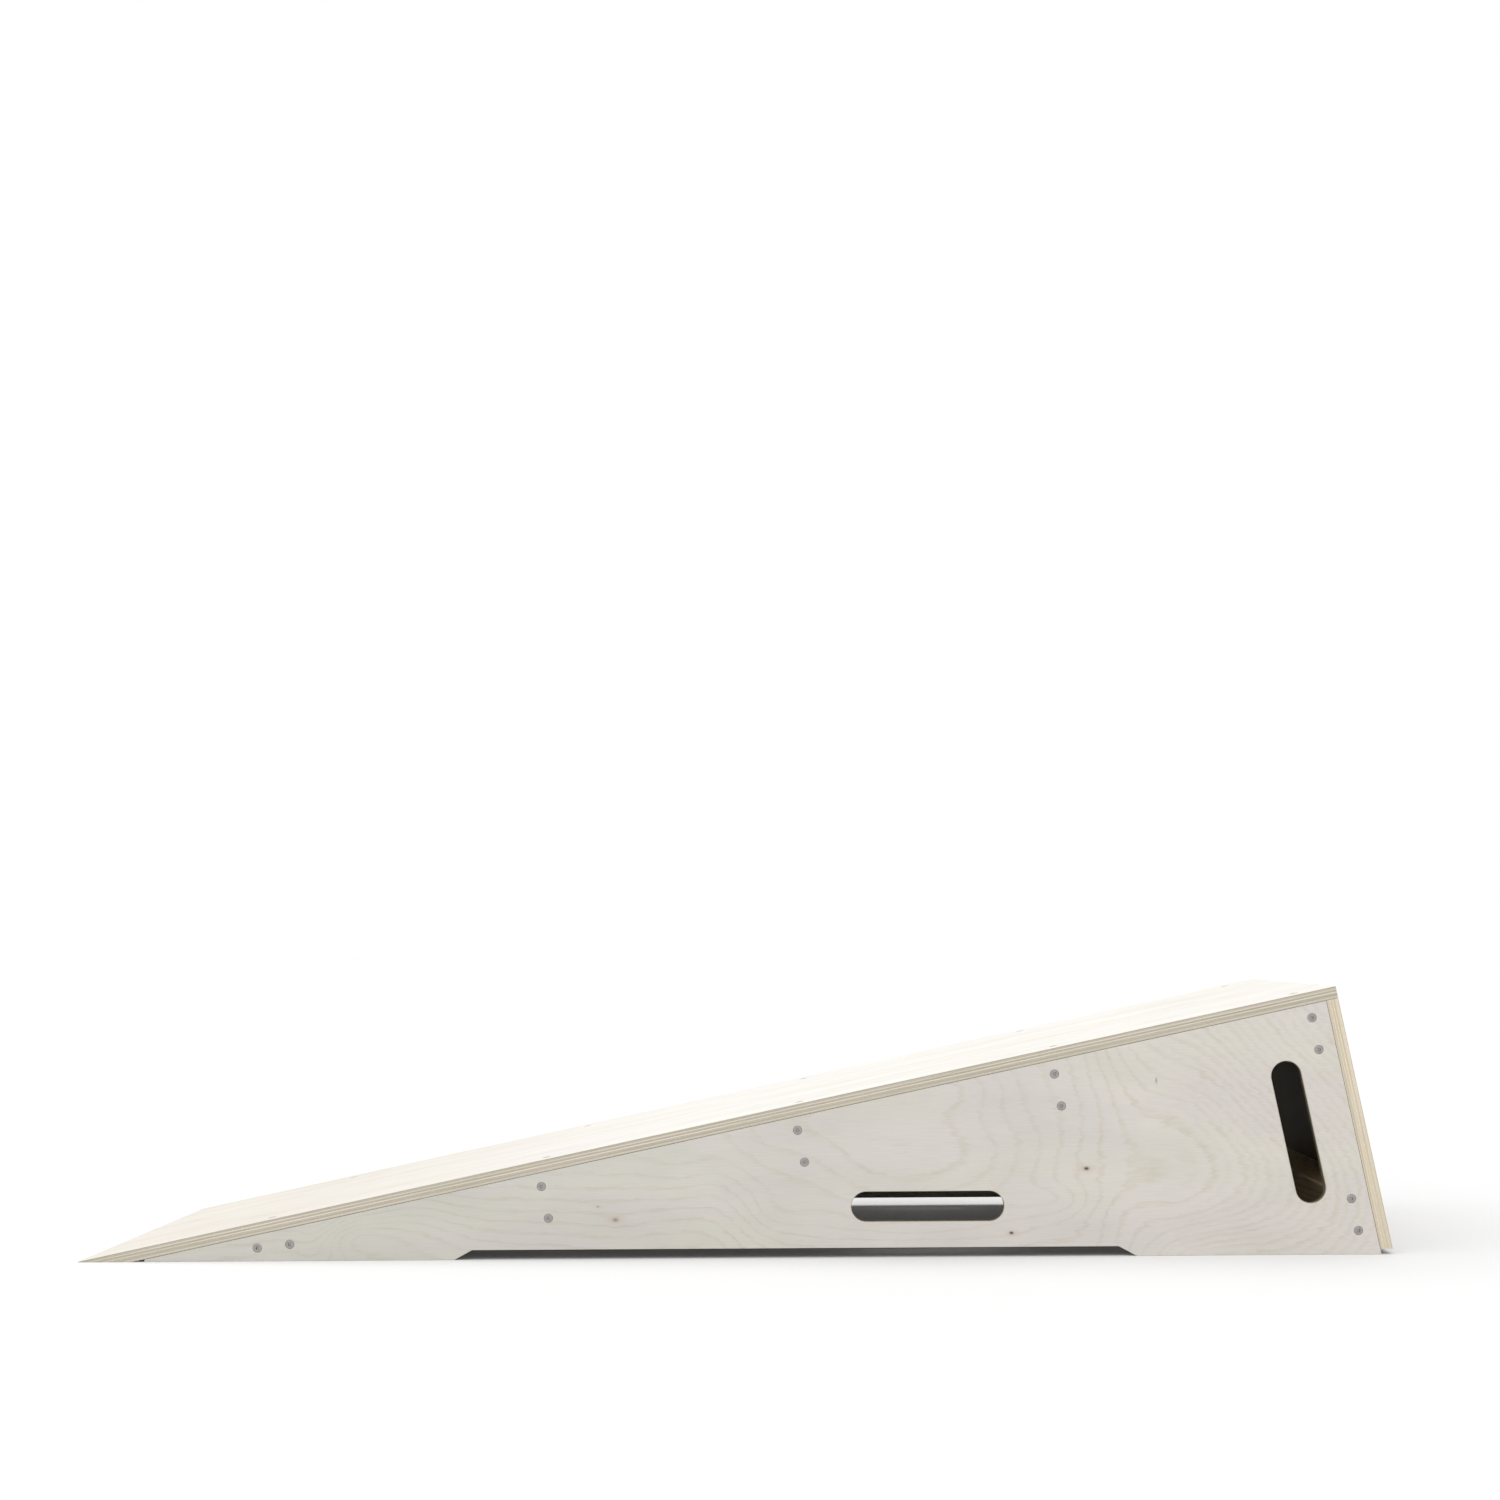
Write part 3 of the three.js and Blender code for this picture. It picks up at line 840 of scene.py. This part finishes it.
# Plywood panels. Their own x runs along the face grain, y across it and z out of the wood.
# Openings give their walls a finish, and faces without one are sorted in addPanel.
panelEase = {"width": 0.25, "steps": 2}
edgeBirch = {
    "outerPly": 0.9,
    "plies": [
        "#c7c1b2", "#d9d2c2", "#ebe3d2", "#cec7b8", "#efe7d6",
        "#d9d2c2", "#ccc5b6", "#ebe3d2", "#dbd4c4",
    ],
    "glue": "#8f7f66",
    "glueShare": 0.3,
    "straw": "#fffffa",
    "rose": "#fffcfc",
}
edgeYellow = dict(edgeBirch, plies=[
    "#e4d9c4", "#f3e8d2", "#fbf0d9", "#e3d8c1", "#fbf0da",
    "#e9dec6", "#fbf0d9", "#e1d6be", "#f3e8d2",
], glue="#b5a27a")
# painted shade: the walls of slots and screw holes are drawn as a dark ply edge, standing in for
# the shade that falls on them
edgePaintedShade = dict(edgeBirch, plies=[
    "#a3998a", "#7a6c5a", "#807260", "#776853", "#83755f",
    "#7a6b56", "#867863", "#776955", "#a3998a",
], glue="#4f4232")
veneer = {
    "swellLength": 150,
    "swellWidth": 55,
    "swell": 30,
    "tilt": (0, 0.35),
    "level": 0,
    "ringSpacing": 10.5,
    "ringShare": 1.12,
    "ringStrength": (0.55, 1),  # weakest and strongest
    "feather": 0.8,
    "pauseFrom": 1000,
    "pauseTo": 1130,
    "pauseShare": 0.75,
    "paleStart": "#dedcd8",
    "paleEnd": "#eae5e2",
    "lateTint": "#f5f3ec",  # of the pale ground
    "bandTint": "#fbfaf6",
    "bandShare": 0.3,
    "straw": "#fffff8",
    "rose": "#fffdfb",
    "halo": "#d6bfa9",
    "heart": "#4a3228",
    "tintFrom": 200,
    "tintTo": 1150,
    "knotLift": 5,
    "gloss": 0.5,
    "hills": [],
    "knots": [],  # place along and up, size, strength
    "flecks": [],
    "seed": 4.0,
}
# the sheets' inner faces are of a rough, knottier grade. The deck's is browner, partly a real grade
# and partly painted shade for the inside of the ramp; the back's is painted nearly black, as
# painted shade seen through the rear slot
innerVeneer = dict(
    veneer, paleStart="#d6d1c7", paleEnd="#d1cbc0", bandShare=1.0, gloss=0.05,
    knots=[(310, 60, 2.6, 0.9), (700, 45, 3.2, 0.9), (1010, 120, 2.4, 0.9)])
shadedBrownVeneer = dict(innerVeneer, paleStart="#bba98f", paleEnd="#b5a184")
paintedShadeVeneer = dict(innerVeneer, paleStart="#857a6a", paleEnd="#857a6a")


def addPanel(name, node, bm, place, look, edgeLook, innerLook):
    bm.normal_update()
    for face in bm.faces:
        if abs(face.normal.z) > parallel:
            isOuter = face.verts[0].co.z > -ramp["panel"] / 2
            face.material_index = panelFinish["outer" if isOuter else "inner"]
        elif face.material_index == 0:
            face.material_index = panelFinish["edge"]
    innerLook = dict(innerLook, seed=look["seed"] + 3)
    materials = [
        birchVeneer("birch veneer, " + name, place, look),
        plyEdge("birch ply edge, " + name, place, edgeLook),
        birchVeneer("inner birch veneer, " + name, place, innerLook),
    ]
    # a dark ply edge as painted shade, for panels whose openings have walls that take it
    if any(face.material_index == panelFinish["paintedShade"] for face in bm.faces):
        materials.append(plyEdge("scorched ply edge, " + name, place, edgePaintedShade))
    return addPiece(name, bm, place, materials, node)


# Deck
deckPlace = placement(deckStart, uphill, sideways, deckNormal)
bm = plate([
    (0, -halfWidth), (ramp["deckLength"], -halfWidth),
    (ramp["deckLength"], halfWidth), (0, halfWidth),
], ramp["panel"])
planeOff(bm, (0, 0, -ramp["featherLip"] / slopeCos), (slopeSin, 0, slopeCos))
easeEdges(bm, panelEase["width"], panelEase["steps"], anyEdge)
cutOpenings(bm, screwHoles("deck_panel", deckPlace))
deckVeneer = dict(
    veneer, seed=11.3, paleStart="#d8d3cf", paleEnd="#e2e0e0", tintFrom=150, tintTo=650,
    bandShare=1.0)
# the deck's inner face is browned, partly as painted shade for the inside of the ramp
addPanel("birchDeck", "deck_panel", bm, deckPlace, deckVeneer, edgeBirch, shadedBrownVeneer)

# Back
backPlace = placement(deckStart + uphill * ramp["deckLength"] * metre, sideways, deckNormal, uphill)
backDepth = depthAtHeight(ramp["deckLength"], ramp["backClearance"])
sawnDepth = backDepth + 1  # before its lower end is planed level
bm = plate([
    (-halfWidth, -sawnDepth), (halfWidth, -sawnDepth),
    (halfWidth, -undersideDepth), (-halfWidth, -undersideDepth),
], ramp["panel"])
planeOff(bm, (0, -backDepth, 0), (0, slopeCos, slopeSin))
easeEdges(bm, panelEase["width"], panelEase["steps"], anyEdge)
cutOpenings(bm, screwHoles("back_panel", backPlace))
backVeneer = dict(veneer, seed=27.1, tintFrom=-250, tintTo=250)
# the back's inner face is painted nearly black, as painted shade seen through the rear slot
addPanel("birchBack", "back_panel", bm, backPlace, backVeneer, edgeYellow, paintedShadeVeneer)
print("deck and back panels made")

# Sides
side = {
    "frontHeight": 2.3,
    "notchStart": 367,
    "notchLength": 662,
    "notchHeight": 9.4,
    "notchRun": 17.2,
    "slotRadius": 14.5,
    "slotRim": 0.6,
    "levelSlot": (827, 49.3, 148),  # place along and up, length
    "rearSlotLength": 140,
    "rearSlotSetback": 4.7,
    "slotSteps": 64,
    "rimSteps": 3,
}
front = distanceAtHeight(side["frontHeight"], undersideDepth)
rear = backInner - ramp["gap"]
notchEnd = side["notchStart"] + side["notchLength"]
sideOutline = [
    (front, 0),
    (side["notchStart"], 0),
    (side["notchStart"] + side["notchRun"], side["notchHeight"]),
    (notchEnd - side["notchRun"], side["notchHeight"]),
    (notchEnd, 0),
    onSlope(rear, depthAtHeight(rear, 0)),
    onSlope(rear, undersideDepth),
    (front, side["frontHeight"]),
]
rimTurns = [math.pi / 2 * step / side["rimSteps"] for step in range(side["rimSteps"] + 1)]
outerRim = [
    (
        side["slotRadius"] + side["slotRim"] * (1 - math.sin(turn)),
        side["slotRim"] * (1 - math.cos(turn)),
    )
    for turn in rimTurns
]
innerRim = [(radius, ramp["panel"] - depth) for radius, depth in reversed(outerRim)]
rimFinishes = [panelFinish["edge"]] * side["rimSteps"]
rearSlotAlong = rearFront - side["rearSlotSetback"] - side["slotRadius"]
rearSlot = onSlope(rearSlotAlong, (upperDepth + lowerDepth) / 2)
slots = [
    (side["levelSlot"][0], side["levelSlot"][1], side["levelSlot"][2], 0),
    (rearSlot[0], rearSlot[1], side["rearSlotLength"], slopeAngle - math.pi / 2),
]
sideVeneers = {
    "right": dict(veneer, swell=6, tilt=(-0.121, 0.05), level=-108, hills=[
        # place along and up, reach along and up, lift
        (212, 115, 699, 99, 118),
        (233, 42, 22, 48, 22),
        (271, 22, 44, 19, -31),
        (327, 34, 49, 46, -21),
        (590, 86, 34, 52, 17),
        (606, 63, 53, 80, -32),
        (681, 43, 29, 20, 11),
        (713, 91, 52, 37, -14),
        (812, 7, 89, 16, -14),
        (843, 171, 287, 430, 158),
        (857, 163, 70, 28, 36),
        (883, 161, 109, 38, -34),
        (950, 55, 38, 15, 16),
        (987, 84, 67, 61, -56),
        (995, 40, 63, 230, 44),
        (1017, 41, 41, 26, -16),
        (1021, 208, 54, 125, -37),
        (1060, -3, 124, 43, -48),
        (1075, 140, 34, 16, 5),
        (1177, 16, 226, 165, 93),
    ], knots=[
        (524, 38, 2.3, 0.55), (507, 51, 0.9, 0.5), (981, 85, 2.0, 1.1), (908, 23, 1.6, 1.2),
    ], flecks=[(1049, 170, 0.8, 2.6)], knotLift=1.5, seed=4.0),
    "left": dict(
        veneer, seed=31.7, hills=[(700, 90, 150, 80, 45)],
        knots=[(430, 60, 2.2, 0.8), (900, 150, 2.8, 0.9)]),
}
for hand, sign in hands.items():
    place = placement(tip + sideways * sign * halfWidth * metre, forward, upward, sideways * sign)
    bm = plate(sideOutline, ramp["panel"])
    easeEdges(bm, panelEase["width"], panelEase["steps"], anyEdge)
    openings = screwHoles("side_panel_" + hand, place)
    for x, y, length, angle in slots:
        openings.append({
            "place": Matrix.Translation((x, y, 0)) @ Matrix.Rotation(angle, 4, "Z"),
            "profile": outerRim + innerRim,
            "steps": side["slotSteps"],
            "reach": length / 2 - side["slotRadius"],
            # the slot's wall takes the painted shade finish, between its rims
            "finishes": rimFinishes + [panelFinish["paintedShade"]] + rimFinishes,
        })
    cutOpenings(bm, openings)
    addPanel("birchSide" + hand.capitalize(), "side_panel_" + hand, bm, place, sideVeneers[hand],
             edgeBirch, innerVeneer)
print("side panels made")

# Timber: five battens and the nose block. Their own z runs along the grain.
pine = {
    "pith": (-30, -75),
    "ringSpacing": 3.4,
    "ringShare": 0.8,
    "branch": (-160, 1.2, 7),  # place along the piece, turn about the pith, radius
    "earlyWood": "#e9d5ae",
    "lateWood": "#cfa066",
    "duct": "#9c6f42",
    "bark": "#6b4228",
    "knot": "#a86b3c",
    "seed": 1.0,
}
pineLooks = {
    "low": dict(pine, seed=2.1, branch=(-140, 1.1, 6)),
    "mid": dict(pine, seed=5.7, pith=(45, -60), branch=(-330, 2.1, 8)),
    "high": dict(pine, seed=9.2, pith=(-55, 40), branch=(-90, -0.6, 5)),
    "rear_upper": dict(pine, seed=12.9, ringShare=0.5, pith=(20, 80), branch=(-250, -1.8, 7)),
    "rear_lower": dict(pine, seed=16.4, ringShare=0.5, pith=(60, 55), branch=(-390, -2.4, 6)),
    "nose": dict(pine, seed=20.8, pith=(10, 90), branch=(-200, -1.7, 6)),
}


def addTimber(name, node, corners, place, look):
    bm = plate(corners, battenLength)
    easeEdges(bm, timber["ease"], timber["easeSteps"], isLong)
    cutOpenings(bm, screwHoles(node, place))
    finish = planedPine("planed pine, " + name, place, look)
    addPiece(name, bm, place, [finish], node)


rightEnd = -(halfWidth - undersideDepth)
halfThick, halfDeep = timber["thickness"] / 2, timber["depth"] / 2
battenCorners = [
    (-halfThick, -halfDeep), (halfThick, -halfDeep),
    (halfThick, halfDeep), (-halfThick, halfDeep),
]
for row, (along, depth) in battenRows.items():
    place = placement(rowPoint(onSlope(along, depth), rightEnd), uphill, deckNormal, -sideways)
    words = "".join(word.capitalize() for word in row.split("_"))
    addTimber("pineBatten" + words, "batten_" + row, battenCorners, place, pineLooks[row])
halfNose = timber["noseWidth"] / 2
noseFront, noseRear = timber["noseDistance"] - halfNose, timber["noseDistance"] + halfNose
place = placement(rowPoint((timber["noseDistance"], 0), rightEnd), forward, upward, -sideways)
noseCorners = [
    (-halfNose, 0), (halfNose, 0),
    (halfNose, heightBelowDeck(noseRear, undersideDepth)),
    (-halfNose, heightBelowDeck(noseFront, undersideDepth)),
]
addTimber("pineNoseBlock", "nose_block", noseCorners, place, pineLooks["nose"])
print("battens and nose block made")

# The screws themselves, each a stack of rings from the floor of its drive to its point
zinc = zincSteel("zinc-plated steel", {
    "dull": "#9a9795",
    "bright": "#a9a6a3",
    "cloud": 2.2,  # millimetres
    "grit": 0.25,
})
here = Matrix.Identity(4)
drive, lobe, ease = screw["driveRadius"], screw["driveLobe"], screw["driveEase"]
headRadius, shankRadius, rim = screw["headRadius"], screw["shankRadius"], screw["headRim"]
floorShare, footShare = screw["driveFloor"]
innerDrop, outerDrop = screw["edgeDrops"]
for item in screws:
    bm = bmesh.new()
    sink = item["sink"]
    floorDepth = sink + screw["driveDepth"]
    head = [
        (drive * floorShare, floorDepth, 0),
        (drive * footShare, floorDepth - ease, lobe),
        (drive, sink + ease, lobe),
        (drive + screw["driveFlare"], sink, lobe),
        (headRadius - screw["flatInset"], sink, 0),
        (headRadius - screw["edgeInset"], sink + innerDrop, 0),
        (headRadius, sink + outerDrop, 0),
        (headRadius, sink + rim, 0),
        (shankRadius, sink + rim + headRadius - shankRadius, 0),
    ]
    rings = [
        ring(bm, here, radius, depth, screw["steps"], 0, screw["driveLobes"], share)
        for radius, depth, share in head
    ]
    threadStart = item["length"] * (1 - screw["threadShare"])
    rings.append(ring(bm, here, shankRadius, threadStart - screw["threadRunIn"], screw["steps"]))
    quarter = screw["threadPitch"] / 4
    count = int((item["length"] - threadStart) / quarter)
    for step in range(count):
        depth = threadStart + step * quarter
        taper = min(1, (item["length"] - depth) / screw["point"])
        edges = ring(bm, here, screw["threadRoot"] * taper, depth, screw["steps"])
        fade = min(1, step / 4)  # over the first turn
        for vert in {vert for edge in edges for vert in edge.verts}:
            turn = math.atan2(vert.co.y, vert.co.x)
            crest = max(0, math.cos(turn - step * math.pi / 2)) ** screw["threadCrest"] * fade
            factor = 1 + crest * (screw["threadRadius"] / screw["threadRoot"] - 1)
            vert.co.x *= factor
            vert.co.y *= factor
        rings.append(edges)
    rings.append(ring(bm, here, screw["tipRadius"], item["length"], screw["steps"]))
    bridgeRings(bm, rings)
    bmesh.ops.edgeloop_fill(bm, edges=rings[0])
    bmesh.ops.edgeloop_fill(bm, edges=rings[-1])
    piece = addPiece("zinc_" + item["node"], bm, item["place"], [zinc], item["node"])
    piece.data.set_sharp_from_angle(angle=math.radians(screw["sharp"]))
print("screws made:", len(screws))
